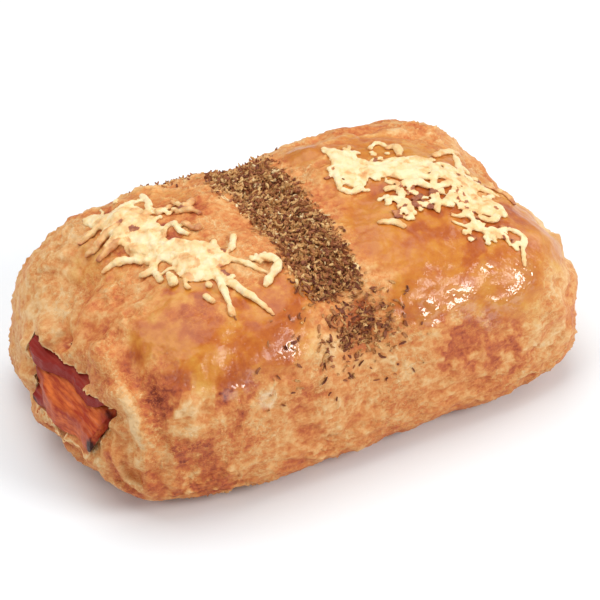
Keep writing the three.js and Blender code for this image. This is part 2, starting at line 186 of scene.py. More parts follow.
def addCamera():
    azimuth, elevation = math.radians(photoView["azimuth"]), math.radians(photoView["elevation"])
    flat = math.cos(elevation)
    back = Vector((math.sin(azimuth) * flat, -math.cos(azimuth) * flat, math.sin(elevation)))
    turn = back.to_track_quat("Z", "Y")
    aim = Vector((0, 0, photoView["aimHeight"]))
    aim += turn @ Vector((photoView["moveRight"], photoView["moveUp"], 0))
    bpy.ops.object.camera_add(location=(aim + back * photoView["distance"]) * mm)
    camera = bpy.context.object
    camera.rotation_mode = "QUATERNION"
    camera.rotation_quaternion = turn
    camera.data.lens = photoView["lens"]
    bpy.context.scene.camera = camera


studio = {
    "floorSize": 8,
    "floor": {"Base Color": (0.86, 0.9, 0.94, 1), "Roughness": 0.9, "Specular IOR Level": 0.1},
    "world": {"Color": (1, 1, 1, 1), "Strength": 0.3},
    # name, direction to the light, distance and size in metres, power in watts, colour
    "lights": [
        ("windowRight", (0.49, -0.7, 0.55), 0.9, (0.4, 0.3), 4.3, (1, 0.98, 0.95)),
        ("overhead", (-0.1, 0.3, 1), 1, (1.3, 1.1), 9.4, (1, 0.99, 0.97)),
        ("leftFill", (-0.9, -0.25, 0.6), 1.2, (0.45, 0.4), 2.5, (1, 0.99, 0.97)),
        ("rightFill", (1, 0.15, 0.5), 1.2, (0.45, 0.4), 2, (1, 0.99, 0.97)),
    ],
}


def addLight(name, direction, distance, size, power, color):
    direction = Vector(direction).normalized()
    bpy.ops.object.light_add(type="AREA", location=direction * distance)
    light = bpy.context.object
    light.name = name
    light.rotation_mode = "QUATERNION"
    light.rotation_quaternion = direction.to_track_quat("Z", "Y")
    light.data.shape = "RECTANGLE"
    light.data.size, light.data.size_y = size
    light.data.energy = power
    light.data.color = color


def addStudio():
    bpy.ops.mesh.primitive_plane_add(size=studio["floorSize"], location=(0, 0, 0))
    floor = bpy.context.object
    floor.name = "floor"
    material, _, shader = newMaterial("plainFloor")
    setInputs(shader, studio["floor"])
    floor.data.materials.append(material)
    world = bpy.data.worlds.new("studio")
    world.use_nodes = True
    setInputs(world.node_tree.nodes["Background"], studio["world"])
    bpy.context.scene.world = world
    bpy.context.scene.view_settings.view_transform = "Standard"
    for light in studio["lights"]:
        addLight(*light)


addCamera()
addStudio()
print("camera and studio done")


# the crust's form, the same as in the part's source

crustForm = {
    "length": 130,
    "width": 82,
    "height": 49,
    "girthLevel": 14,
    "baseSink": 0.9,
    "planSquareness": 4.9,
    "endSquareness": 2.85,
    "sideSquareness": 3.2,
    "baseSquareness": 3.6,
    "evenness": 0.25,
    "leftEndDetail": 0.16,
    "cuts": ((4, 58), (3, 48), (1, 70)),
    "dip": {"x": -3, "lean": 0.05, "halfWidth": 8, "top": 2.6, "side": 1.3},
    "swells": [  # x, y, z, reach, rise
        (-34, -6, 48, 24, 1), (30, -2, 48, 24, 1.6), (24, 34, 38, 15, -0.2), (53, 31, 36, 12, 1.5),
        (59, 0, 37, 15, -2.2), (-60, 30, 24, 15, -0.7), (-43, 29, 43, 8, 1.7), (-51, 31, 38, 8, -1.5),
        (-54, -36, 12, 12, -1), (14, 18, 47, 4.5, 1.8), (-24, 30, 45, 5, 0.7), (8, 31, 43, 9, -1.2),
        (61, -20, 29, 10, -1.3), (-61.5, -0.5, 32.5, 3, -2.4), (-62, -12, 31, 3.4, -2.4),
        (-61, -11, 36, 3.6, 1.6), (-62.5, -25, 28, 5.5, -1.8),
    ],
    "folds": [  # from, to, reach, rise
        ((-58, -14, 37.5), (-58.5, -30, 31), 2.8, 2.1), ((-53.5, -17, 40.5), (-56, -31, 34), 3, -1.3),
        ((-62.5, 9, 31.5), (-62, -4, 30.5), 2.4, 1.3), ((-57.5, -34.5, 26), (-58, -34, 12), 2.2, 1.4),
        ((-60.5, -31, 26), (-60.2, -32, 14), 2, -1.4), ((-51, -38, 26), (-52, -38, 12), 2.4, 0.9),
        ((-47.5, -36, 34), (-47, -38.5, 25), 2.4, 1.1), ((-65.5, 6, 10), (-62.5, -27, 16), 3.4, 1.7),
        ((-65, 11, 26), (-65.5, 10, 13), 2.8, 1.4), ((-57, 23, 37), (-47, 16, 43.5), 2.6, 1),
        ((-58, 12, 38), (-51, 6, 42), 3.4, -0.8), ((16, 31, 44), (52, 22, 41), 2.6, 1.1),
        ((20, 26, 46), (46, 18, 45), 2.6, -0.7), ((45, -40, 16), (53, -37.5, 20.5), 2.2, -1.2),
        ((50, -39, 27), (56, -36.5, 15), 2.6, 1.2), ((64, -20, 30), (64, 18, 32), 3, 1.4),
    ],
    "waves": [  # rise, along, across, up, phase
        (0.45, 0.11, 0.14, 0.05, 1.3),
        (0.35, 0.21, -0.17, 0.13, 0.2),
        (0.22, -0.33, 0.27, 0.31, 2.1),
    ],
    "pleats": {"count": 11, "rise": 0.9, "inner": 9, "outer": 30, "depth": 16},
    "openings": [(-1, -11, 24, 20, 7), (1, -6, 22, 18, 5)],  # side, y, z, half width, half height
    "lip": {"rise": 1.1, "width": 0.35},
    "herbBed": {"x": -3, "lean": 0.06, "halfWidth": 9, "angles": (-46, 60), "rise": 0.7},
}


def cushionPoints(unit):
    form = crustForm
    u, v, w = unit.T
    square = form["planSquareness"]
    plan = (np.abs(u) ** square + np.abs(v) ** square) ** (1 / square)
    alongShare = u * u / np.maximum(u * u + v * v, 1e-9)
    above = mix(form["sideSquareness"], form["endSquareness"], alongShare)
    power = np.where(w > 0, above, form["baseSquareness"])
    scale = (plan ** power + np.abs(w) ** power) ** (1 / power)
    rise = np.where(w > 0, form["height"] - form["girthLevel"], form["girthLevel"])
    z = form["girthLevel"] + w / scale * rise
    return np.stack([u / scale * form["length"] / 2, v / scale * form["width"] / 2, z], axis=1)


def nearSegment(points, start, end):
    along = np.subtract(end, start)
    t = np.clip((points - start) @ along / (along @ along), 0, 1)
    return np.linalg.norm(points - start - t[:, None] * along, axis=1)


def nearPath(points, path):
    return np.min([nearSegment(points, start, end) for start, end in zip(path, path[1:])], axis=0)


def near(points, place):
    return np.linalg.norm(points - place, axis=1)


def spotsAt(points, spots):  # the sum of the spots: x, y, z, reach, amount
    return sum(amount * bell(near(points, place) / reach) for *place, reach, amount in spots)


def coverAt(points, spots):  # the strongest of the spots at each point
    covers = [amount * bell((near(points, place) / reach) ** 1.5) for *place, reach, amount in spots]
    return np.max(covers, axis=0)


def formRelief(points):
    form = crustForm
    x, y, z = points.T
    dip = form["dip"]
    away = (x - dip["x"] - dip["lean"] * y) / dip["halfWidth"]
    total = -mix(dip["side"], dip["top"], smooth(24, 44, z)) * bell(away) * smooth(2, 14, z)
    total += spotsAt(points, form["swells"])
    for start, end, reach, rise in form["folds"]:
        total += rise * bell(nearSegment(points, start, end) / reach)
    for rise, along, across, up, phase in form["waves"]:
        total += rise * np.sin(along * x + across * y + up * z + phase) * smooth(0, 8, z)
    pleats, lip = form["pleats"], form["lip"]
    for side, oy, oz, halfWidth, halfHeight in form["openings"]:
        inward = form["length"] / 2 - side * x
        turn = np.arctan2(z - oz, (y - oy) * 0.6)
        out = np.hypot(y - oy, z - oz)
        fade = bell(inward / pleats["depth"]) * smooth(0, 7, z)
        fade = fade * smooth(pleats["inner"], pleats["inner"] + 5, out)
        fade = fade * (1 - smooth(18, pleats["outer"], out))
        total += pleats["rise"] * fade * np.sin(turn * pleats["count"] + inward * 0.12)
        ring = np.hypot((y - oy) / halfWidth, (z - oz) / halfHeight)
        total += lip["rise"] * bell((ring - 1.3) / lip["width"]) * bell(inward / 9)
    bed = form["herbBed"]
    angle = np.degrees(np.arctan2(-y, z - form["girthLevel"]))
    across = bell((x - bed["x"] - bed["lean"] * y) / bed["halfWidth"])
    first, last = bed["angles"]
    across = across * smooth(first - 8, first, angle) * (1 - smooth(last - 14, last, angle))
    return total + bed["rise"] * across


# the baked surface

crustLooks = {
    "strata": {"pitch": 1.7, "rise": 0.3, "warp": 3.2},
    "wrinkles": {"size": 6, "rise": 0.62},
    "flakes": {"size": 2.4, "rise": 0.2},
    "grain": {"size": 1.3, "rise": 0.1},
    # edges of lifted flakes: size, half width and rise of each net of lines
    "edges": [(8.5, 0.07, 0.7), (3.8, 0.09, 0.42)],
    "blisters": [
        {"size": 7, "rise": 0.5, "spared": 0.1},
        {"size": 3.1, "rise": 0.26, "spared": 0.05},
    ],
    "glazeBumps": {"size": 2.4, "rise": 0.28},
    "foldReach": {"form": 1, "color": 1.5},
    # rise (less than 0 for a groove), how much paler (a painted highlight along a ridge; less than 0,
    # painted shade in a groove), and the points that the fold passes
    "folds": [
        (1.5, 0.28, (-58.4, -14, 39), (-58.2, -20, 37), (-59, -26.7, 34.4), (-59.4, -31, 31),
         (-59.3, -33.5, 25)),
        (-1.2, -0.16, (-54.2, -14, 40), (-54, -18, 38), (-54.2, -22, 35.7), (-55.8, -29.3, 32)),
        (-1.1, -0.22, (-63.6, -26.7, 20), (-64.3, -29.3, 17.5), (-62, -28.9, 11.5), (-59.9, -31.7, 9.4)),
        (1, 0.14, (-62.6, -28, 20.6), (-63.2, -30.2, 18.2), (-61, -29.7, 12.8), (-59.2, -32.6, 11.2)),
        (-1, -0.2, (-61.4, -29, 21.3), (-62.1, -31.2, 19), (-60.1, -30.4, 14.1), (-58.8, -33.4, 13.4)),
        (-0.7, -0.1, (-57, 22, 37), (-54.6, 18, 38.3), (-53, 12, 39), (-52, 5.5, 39.3), (-53, -2, 40)),
        (0.8, 0.18, (-61.5, 4, 33), (-59.2, -1, 35), (-60.5, -6, 33.5)),
        (0.7, 0.12, (-61.6, 17, 30), (-59, 13.7, 34), (-57.4, 9, 35), (-57.6, 0.6, 36.5)),
        (0.5, 0.1, (-47, 28, 41.4), (-47, 16, 44), (-45, 7, 44), (-44.7, -2.6, 43.3), (-42, -7.7, 44)),
        (0.5, 0.14, (-51.8, -35, 30), (-49, -35.7, 33.7), (-46.7, -38, 31.5), (-48.5, -38.3, 26.7),
         (-51, -36.5, 27)),
        (-0.7, -0.1, (-57.5, -35.5, 16.7), (-54.2, -36.3, 11.6)),
        (0.6, 0.1, (-52, -37.3, 18.7), (-52, -36.2, 26.6)),
        (0.6, 0.12, (-50.5, 3.6, 41.7), (-47.6, 3.6, 43)),
        (0.9, 0.2, (23, 22, 47), (42.8, 21.7, 44.4)),
        (-0.8, -0.08, (30, 27, 45), (53.3, 19.8, 40)),
        (0.9, 0.24, (45.8, -39.4, 16.3), (53, -37.2, 20), (54.9, -36.4, 13)),
        (-0.5, -0.08, (-21, -41, 17.8), (16.5, -41, 15), (33.4, -40.6, 14.2)),
        (-2.1, -0.12, (-66.6, 4, 11), (-66.8, -8, 11.2), (-66.8, -14, 12.2), (-66, -20, 13.2)),
    ],
    # x, y, z, reach, rise: the small hollow over the ham, which is also painted darker as shade
    "pocket": (-60.6, -1.3, 32.8, 2, -0.45),
    # shares of the crust's colour value: browning, with painted shade and painted light from the relief,
    # from low down and from the hollow over the ham
    "bakeShadeAndLightShares": {
        "base": 0.46, "blotch": 0.14, "ragged": 0.1, "relief": -0.19, "glaze": 0.07, "edges": -0.3,
        "low": 0.15, "rim": 0.3, "pocket": 0.34, "most": 0.76, "cutFace": 0.62,
    },
    # x, y, z, reach, how much glaze (1 shines)
    "glaze": [
        (24, -18, 47, 20, 1), (36, -30, 40, 17, 1), (52, -22, 36, 13, 0.9), (14, -34, 40, 9, 0.9),
        (30, 4, 49, 20, 0.8), (50, 0, 42, 14, 0.7), (14, 18, 48, 6, 0.9), (-24, -30, 42, 12, 0.9),
        (-38, -31, 40, 11, 0.9), (-16, -26, 45, 9, 0.7), (-44, -26, 43, 9, 0.7),
        (-48, -21, 42, 8, 0.75), (-46, -30, 39, 6, 0.6), (-32, -6, 49, 14, 0.45),
        (-36, -17, 47, 13, 0.6), (-44, 9, 46, 15, 0.42), (-26, 22, 47, 12, 0.42),
    ],
    # x, y, z, reach, how dense: bubbles in the glaze that catch the light
    "sparkle": [
        (-37.7, -37.5, 33.6, 2.4, 1), (-33, -37, 35.2, 3, 1), (-45.8, -33.8, 38, 1.8, 1),
        (-21.7, -35.9, 38.6, 2.6, 1), (-29, -39, 29.7, 2.4, 1), (15, -36.9, 36.6, 3.8, 1),
        (24.2, -37.2, 36.6, 4.6, 1), (31, -39, 31.5, 3.8, 1), (37.3, -38.6, 33, 3.2, 1),
        (42.8, -35.4, 36.9, 4, 1), (33, -33, 41, 2.2, 1), (17, -31, 43, 2.2, 1),
    ],
    # x, y, z, reach, how much darker (less than 0 paler): baked colour, but the two spots at x 58 and 62
    # pale the right end as painted light
    "bakeShadeAndLight": [
        (-52, -33, 33, 4.8, 0.38), (-52, -33.4, 32, 2.4, 0.26), (-46.5, -35, 36, 4, 0.24),
        (-40, -37.4, 33.4, 3.8, 0.24), (-49, -38.3, 21, 5, 0.32), (-54, -25, 35.5, 5, 0.2),
        (-52, -19, 40, 4, 0.16), (-42, -34, 38.5, 7, 0.1), (-28, -34, 40, 8, 0.1),
        (-37, -15, 46, 5, 0.24), (-36, 8, 47, 7, 0.24), (-30, -3, 48, 6, 0.2), (-20, 12, 48, 5, 0.16),
        (-37, 29.8, 43, 6, 0.24), (25, -40, 27, 10, 0.3), (38, -40, 20, 8, 0.24), (-46, -40, 8, 9, 0.3),
        (-54, -34, 8, 6, 0.2), (-33.5, -38, 33, 4.5, 0.24), (33.5, -40.3, 21, 5.5, 0.22),
        (30, -40.5, 16.5, 5, 0.16), (54, -35, 30, 7, -0.28), (32, -32.6, 41.5, 6, 0.14),
        (22.5, -25, 46.5, 6, 0.12), (40, -10, 46, 9, 0.2), (45, -18, 43, 7, 0.24), (24, -8, 49, 6, 0.2),
        (16.6, -12.4, 48.4, 2.2, 0.3), (28.3, -17.6, 47.5, 2.4, 0.3), (34, -13, 47, 3, 0.26),
        (33, -29.4, 43, 2.2, 0.3), (20.8, -21.3, 47.5, 1.8, 0.22), (-48, -38, 28, 2.8, -0.14),
        (-46, -37.6, 32.4, 2.2, -0.12), (-29, -39, 29.7, 4.4, -0.24), (-9.6, -35.5, 36, 3.5, -0.26),
        (-14, -37, 37, 6, -0.2), (-4, -39, 31, 8, -0.12), (21, -40.5, 14.5, 6, -0.12),
        (-58, 14, 34, 12, -0.18), (-63, 16, 20, 14, -0.14), (-50, 22, 40, 10, -0.1),
        # the spots at x 58 and 62 are painted light on the right end
        (10, 34, 38, 14, -0.1), (58, -6, 34, 12, -0.32), (62, -18, 22, 12, -0.26),
        (-3, -35, 36, 6, 0.2), (-36, -20, 46, 12, 0.14), (-20, -24, 46, 9, 0.14),
        (33, -20, 46, 12, 0.1), (16, -24, 46, 7, -0.1),
    ],
    # x, y, z, reach, browning past the limit of the rest
    "scorched": [
        (-52, -32.5, 33.5, 4, 0.15), (-39, -38, 31, 4, 0.13), (-50, -38.3, 21, 4, 0.1),
        (-34, -40, 20, 5, 0.1),
    ],
}


def flakyEdges(points, glaze):
    total = np.zeros(len(points))
    for size, width, rise in crustLooks["edges"]:
        net = noiseAt(points, size, 3, 2.0 * size, (1.6, 1.2, 0.75))
        total = np.maximum(total, rise * np.maximum(0, 1 - np.abs(net) / width) ** 1.5)
    patchy = smooth(-0.3, 0.3, noiseAt(points, 16, 2, 5.0))
    return total * patchy * (1 - 0.8 * glaze) * smooth(1, 5, points[:, 2])


def fineRelief(points, glaze, sparkle, edges):
    looks = crustLooks
    z = points[:, 2]
    side = 1 - smooth(24, 42, z)
    matte = 1 - glaze
    patchy = smooth(-0.3, 0.5, noiseAt(points, 14, 2, 3.0))
    strata = looks["strata"]
    level = (z + strata["warp"] * noiseAt(points, 22, 3, 8.0)) / strata["pitch"]
    level += 0.5 * noiseAt(points, 6, 2, 1.0)
    step = level - np.floor(level)
    total = strata["rise"] * (step ** 2 - 0.4) * side * (0.3 + 0.7 * patchy) * smooth(1, 5, z)
    wrinkles, flakes, grain = looks["wrinkles"], looks["flakes"], looks["grain"]
    crease = 1 - 2 * np.abs(noiseAt(points, wrinkles["size"], 4, 11.0, (1.7, 1.2, 0.8)))
    total += wrinkles["rise"] * (crease - 0.55) * (0.3 + 0.7 * matte) * smooth(0, 4, z)
    torn = 1 - 2 * np.abs(noiseAt(points, flakes["size"], 3, 15.0, (1.5, 1.3, 0.7)))
    total += flakes["rise"] * (torn - 0.5) * (0.25 + 0.75 * matte) * (0.5 + 0.5 * patchy)
    total += grain["rise"] * noiseAt(points, grain["size"], 2, 21.0) * (0.4 + 0.6 * matte)
    for blisters in looks["blisters"]:
        cells = [noise.voronoi(p) for p in (points / blisters["size"] + blisters["size"]).tolist()]
        inside = np.array([cell[0][0] for cell in cells])
        lucky = np.array([noise.noise(cell[1][0] * 3.7) for cell in cells])
        dome = np.maximum(0, 1 - (inside / 0.36) ** 2) * (lucky > blisters["spared"])
        total += blisters["rise"] * dome * (0.5 + 0.5 * matte) * smooth(6, 16, z)
    bumps = looks["glazeBumps"]
    total += bumps["rise"] * noiseAt(points, bumps["size"], 2, 41.0) * np.maximum(0.35 * glaze, sparkle)
    total += edges
    uneven = 0.7 + 0.9 * noiseAt(points, 3.5, 2, 31.0)
    for rise, paling, *path in looks["folds"]:
        total += 0.85 * rise * uneven * bell(nearPath(points, path) / looks["foldReach"]["form"])
    return total + spotsAt(points, [looks["pocket"]])


# the crust's colour value: browning, with painted shade and painted light mixed in
def bakeShadeAndLightAt(points, relief, glaze, edges):
    looks, shares = crustLooks, crustLooks["bakeShadeAndLightShares"]
    z = points[:, 2]
    blotch, ragged = noiseAt(points, 13, 3, 51.0), noiseAt(points, 4.2, 3, 61.0)
    total = shares["base"] + shares["blotch"] * blotch + shares["ragged"] * ragged
    # painted shade in the hollows of the relief and painted light on its rises
    total += shares["relief"] * np.clip(relief, -0.8, 0.8) + shares["glaze"] * glaze
    # low: painted shade, the crust darker towards the bottom, up to about 14 mm
    total += shares["low"] * (1 - smooth(3, 14, z + 6 * blotch)) + shares["edges"] * edges
    total += shares["rim"] * (1 - smooth(0.4, 2.6, z + ragged))
    for *place, reach, amount in looks["bakeShadeAndLight"]:
        patch = bell(near(points, place) / reach) * (1 + 1.4 * ragged + 0.7 * blotch)
        total += amount * smooth(0.15, 0.85, patch)
    # paler along the fold ridges, a painted highlight, and darker in the grooves, painted shade
    for rise, paling, *path in looks["folds"]:
        total -= paling * bell(nearPath(points, path) / looks["foldReach"]["color"])
    # painted shade in the hollow over the ham
    *place, reach, _ = looks["pocket"]
    total = np.clip(total + shares["pocket"] * bell(near(points, place) / reach), 0, shares["most"])
    return total + spotsAt(points, looks["scorched"]) * (1 + ragged)


def evenOut(t):
    share = crustForm["evenness"]
    return t * (1 - share + share * t * t)


def makeCrust():
    piece = denseBox("baked_crust", crustForm["cuts"])
    mesh = piece.data
    unit = readPoints(mesh) * mm
    u = unit[:, 0] - crustForm["leftEndDetail"] * (1 - unit[:, 0] ** 2)
    points = cushionPoints(np.stack([evenOut(u), evenOut(unit[:, 1]), unit[:, 2]], axis=1))
    writePoints(mesh, points)
    points = points + readNormals(mesh) * formRelief(points)[:, None]
    writePoints(mesh, points)
    print("crust form done:", len(points), "points")
    glaze = smooth(0.25, 0.7, coverAt(points, crustLooks["glaze"]) + 0.18 * noiseAt(points, 9, 3, 5.0))
    sparkle = coverAt(points, crustLooks["sparkle"]) + 0.35 * noiseAt(points, 3, 3, 7.0)
    sparkle = smooth(0.25, 0.62, sparkle)
    edges = flakyEdges(points, glaze)
    relief = fineRelief(points, glaze, sparkle, edges)
    # this colour value holds browning together with painted shade and painted light
    looks = {"bakeShadeAndLight": bakeShadeAndLightAt(points, relief, glaze, edges), "glaze": glaze, "sparkle": sparkle}
    points = points + readNormals(mesh) * relief[:, None]
    points[:, 2] = np.maximum(points[:, 2] - crustForm["baseSink"], 0)
    writePoints(mesh, points)
    for name, values in looks.items():
        writeAttribute(mesh, name, values)
    return piece


def fillBase(piece):  # one flat face in place of the many on the tray side
    selectOnly(piece)
    bpy.ops.object.mode_set(mode="EDIT")
    bpy.ops.mesh.select_mode(type="FACE")
    bm = bmesh.from_edit_mesh(piece.data)
    for face in bm.faces:
        face.select_set(all(v.co.z < 1e-7 for v in face.verts))
    bmesh.update_edit_mesh(piece.data)
    bpy.ops.mesh.dissolve_faces()
    bpy.ops.object.mode_set(mode="OBJECT")


# ham slices

hamForm = {
    "rightEnd": 60.5,
    "crustGap": 0.6,
    "bendStart": -57,
    "droopPower": 1.6,
    # the last value of each slice is painted shade: the slices tucked into the opening take the dark
    # colour
    "slices": [
        {
            "name": "ham_top", "z": 28.7, "y": -6.5, "halfWidth": 18, "thick": 2.4,
            "out": 1.8, "slant": 5, "droop": 5, "corner": 0, "shadeAndDarkEdges": 0.95,
        },
        {
            "name": "ham_middle", "z": 25.1, "y": -7.6, "halfWidth": 17, "thick": 3.8,
            "out": 2.4, "slant": 0.6, "droop": 7.6, "corner": 0.15, "shadeAndDarkEdges": 0.05,
        },
        {
            "name": "ham_bottom", "z": 21.7, "y": -2.8, "halfWidth": 8.8, "thick": 1.6,
            "out": 2.6, "slant": 2, "droop": 9.4, "corner": 0, "shadeAndDarkEdges": 0.55,
        },
    ],
    "ragged": 0.8,
    "curl": {"middle": -7, "flat": 3, "reach": 15, "rise": 2.3},
    "twist": {"middle": -7, "reach": 16, "share": 0.25},
    # the crust closes on the right end
    "pinch": {"start": 46, "width": 0.7, "level": 24, "height": 0.5, "thick": 0.42},
    "wave": {"rise": 0.6, "across": 0.24, "along": 1.4, "phase": 1.1},
    "cuts": ((2, 70), (1, 64), (1, 4)),
    # share of the cuts and the place along the slice that it reaches; the ends are the slice's own
    "stations": ((0, 0.1, 0.2, 0.3), (56, 46, -52)),
    "fibres": 0.25,
    "tears": 0.35,
    # x, y, z, reach, strength of the burnt corners
    "char": [
        (-66.5, -22.4, 17.4, 2.4, 1), (-61.5, -23.5, 26, 2, 1),
        (-67, 5, 13.5, 2.4, 1), (-66, 6, 19.5, 1.6, 1),
    ],
}


def slicePoints(slice, unit, gap=0.0):
    form, crust = hamForm, crustForm
    left = -crust["length"] / 2 - slice["out"] - gap
    right = crust["length"] / 2 + 2 if gap > 0 else form["rightEnd"]
    shares, stops = form["stations"]
    straight = np.interp((unit[:, 0] + 1) / 2, (*shares, 1), (right, *stops, left))
    t = (form["rightEnd"] - straight) / crust["length"]
    across, face = unit[:, 1], unit[:, 2]
    reach = form["bendStart"] + crust["length"] / 2 + slice["out"]
    outside = np.minimum(np.maximum(form["bendStart"] - straight, 0) / reach, 1)
    pinch = form["pinch"]
    pinched = smooth(pinch["start"], form["rightEnd"], straight)
    narrow = 1 + 0.05 * np.sin(7 * t + slice["z"]) - 0.12 * outside
    narrow = narrow * (1 - (1 - pinch["width"]) * pinched)
    level = mix(slice["z"], pinch["level"] + (slice["z"] - pinch["level"]) * pinch["height"], pinched)
    corner = np.where(across > 0, 1 - slice["corner"] * outside ** 2, 1)
    y = slice["y"] + across * (slice["halfWidth"] * narrow * corner + gap)
    curl = form["curl"]
    aside = np.maximum(np.abs(y - curl["middle"]) - curl["flat"], 0) / curl["reach"]
    lift = curl["rise"] * aside ** 2 * (1 - pinched)
    torn = form["ragged"] * (np.sin(0.3 * y + slice["z"]) + across * across)
    x = straight + outside * (torn + (0 if gap > 0 else slice["slant"] * (1 - across) / 2))
    twist = form["twist"]
    droop = slice["droop"] * (1 + twist["share"] * np.clip((twist["middle"] - y) / twist["reach"], -1, 1))
    past = np.maximum(form["bendStart"] - x, 0) / reach
    power = form["droopPower"]
    drop = droop * past ** power
    slope = power * droop * past ** (power - 1) / reach
    wave = form["wave"]
    rise = wave["rise"] * np.sin(wave["across"] * y + wave["along"] * t + wave["phase"])
    thick = slice["thick"] * mix(1, pinch["thick"], pinched)
    half = (thick / 2 * np.sqrt(1 - 0.72 * across ** 4) + gap) * np.hypot(1, slope)
    return np.stack([x, y, level + rise + lift - drop + face * half], axis=1)


def makeSlice(slice):
    piece = denseBox(slice["name"] + "_slice", hamForm["cuts"])
    mesh = piece.data
    unit = readPoints(mesh) * mm
    points = slicePoints(slice, unit)
    along, across = (unit[:, 0] + 1) / 2, unit[:, 1]
    outer = smooth(0.94, 1, along)
    edge = np.stack([points[:, 1], across * 3, np.full(len(unit), slice["z"])], axis=1)
    points[:, 0] += hamForm["tears"] * noiseAt(edge, 3.2, 3, 2.0) * outer
    writePoints(mesh, points)
    mesh.flip_normals()  # the points run from right to left
    fibres = noiseAt(points, 1.5, 3, slice["z"], (0.7, 7, 0.9)) + 0.5 * noiseAt(points, 5, 2, 3.0)
    points = points + readNormals(mesh) * (hamForm["fibres"] * fibres)[:, None]
    writePoints(mesh, points)
    char = 0.3 * outer * smooth(-0.1, 0.5, noiseAt(points, 3, 2, 9.0)) + 0.3 * outer * np.abs(across) ** 6
    writeAttribute(mesh, "char", char + spotsAt(points, hamForm["char"]))
    # painted shade on the tucked slices, with darker sides and outer end and random patches
    rim = 0.5 * np.abs(across) ** 8 + 0.3 * smooth(0.95, 1, along)
    writeAttribute(mesh, "shadeAndDarkEdges", slice["shadeAndDarkEdges"] + rim + 0.4 * noiseAt(points, 4, 3, 5.0))
    smoothShade(piece)
    return piece


def cutOpenings(crust):
    for slice in hamForm["slices"]:
        cutter = denseBox("cutter", ((2, 24), (1, 16), (1, 1)))
        writePoints(cutter.data, slicePoints(slice, readPoints(cutter.data) * mm, hamForm["crustGap"]))
        cutter.data.flip_normals()
        bakeShadeAndLight = np.full(len(cutter.data.vertices), crustLooks["bakeShadeAndLightShares"]["cutFace"])
        writeAttribute(cutter.data, "bakeShadeAndLight", bakeShadeAndLight)
        applyModifier(crust, "BOOLEAN", object=cutter, operation="DIFFERENCE", solver="MANIFOLD")
        bpy.data.objects.remove(cutter)


# materials

def addNode(tree, kind, inputs, **settings):
    node = tree.nodes.new("ShaderNode" + kind)
    for key, value in settings.items():
        setattr(node, key, value)
    return setInputs(node, inputs)


def attributeSocket(tree, name):
    return addNode(tree, "Attribute", {}, attribute_name=name).outputs["Fac"]


def placeSocket(tree):
    return addNode(tree, "TexCoord", {}).outputs["Object"]


def squashSocket(tree, place, scale):
    return addNode(tree, "Mapping", {"Vector": place, "Scale": scale}).outputs["Vector"]


def noiseSocket(tree, place, scale, detail, roughness):
    inputs = {"Vector": place, "Scale": scale, "Detail": detail, "Roughness": roughness}
    return addNode(tree, "TexNoise", inputs).outputs["Fac"]


def mathSocket(tree, operation, *values, clamp=False):
    return addNode(tree, "Math", dict(enumerate(values)), operation=operation, use_clamp=clamp).outputs[0]


def rampSocket(tree, fac, stops):
    node = addNode(tree, "ValToRGB", {"Fac": fac})
    elements = node.color_ramp.elements
    while len(elements) < len(stops):
        elements.new(0.5)
    for element, (place, *color) in zip(elements, stops):
        element.position = place
        element.color = (*color, 1)
    return node.outputs["Color"]


def rangeSocket(tree, value, fromLow, fromHigh, toLow, toHigh):
    inputs = {"Value": value, "From Min": fromLow, "From Max": fromHigh, "To Min": toLow, "To Max": toHigh}
    return addNode(tree, "MapRange", inputs).outputs["Result"]


def mixColor(tree, fac, a, b, blend="MIX"):
    return addNode(tree, "Mix", {0: fac, 6: a, 7: b}, data_type="RGBA", blend_type=blend).outputs[2]


def bumpSocket(tree, height, bump):
    return addNode(tree, "Bump", {"Height": height, **bump}).outputs["Normal"]


crustColors = {
    "ramp": [
        (0, 0.8, 0.53, 0.27), (0.22, 0.73, 0.4, 0.155), (0.45, 0.65, 0.255, 0.072),
        (0.65, 0.54, 0.15, 0.038), (0.82, 0.42, 0.085, 0.026), (1, 0.2, 0.03, 0.012),
    ],
    "glazeTint": (0.87, 0.8, 0.24, 1),
    "glazeTintShare": 0.85,
    "glazeCalm": 0.72,  # how much of the patterns the glaze hides
    "roughness": {"matte": 0.52, "glaze": 0.34, "swing": 0.2},
    "coatShare": {"even": 0.16, "sparkle": 1},
    "shader": {"Specular IOR Level": 0.32, "Coat Roughness": 0.07, "Coat IOR": 1.75},
    "squash": (0.85, 0.85, 1.25),
    # scale (the pattern's size in metres is about one over it), detail, half range, share of the shade
    # and of the height
    "patterns": {
        "mottle": (380, 5, 0.1, 0.085, 0.5),
        "flakes": (760, 4, 0.09, 0.095, 0.6),
        "fine": (1900, 3, 0.14, 0.05, 0.3),
    },
    "lineHeight": 0.25,
    # pale wandering lines at the edges of flakes: scale of the net, half width, how much paler
    "nets": [(260, 0.02, 0.24), (560, 0.028, 0.2)],
    "bump": {"Strength": 0.6, "Distance": 0.0007},
    "bubbles": {"scale": 460, "bump": {"Strength": 1, "Distance": 0.00055}},
}


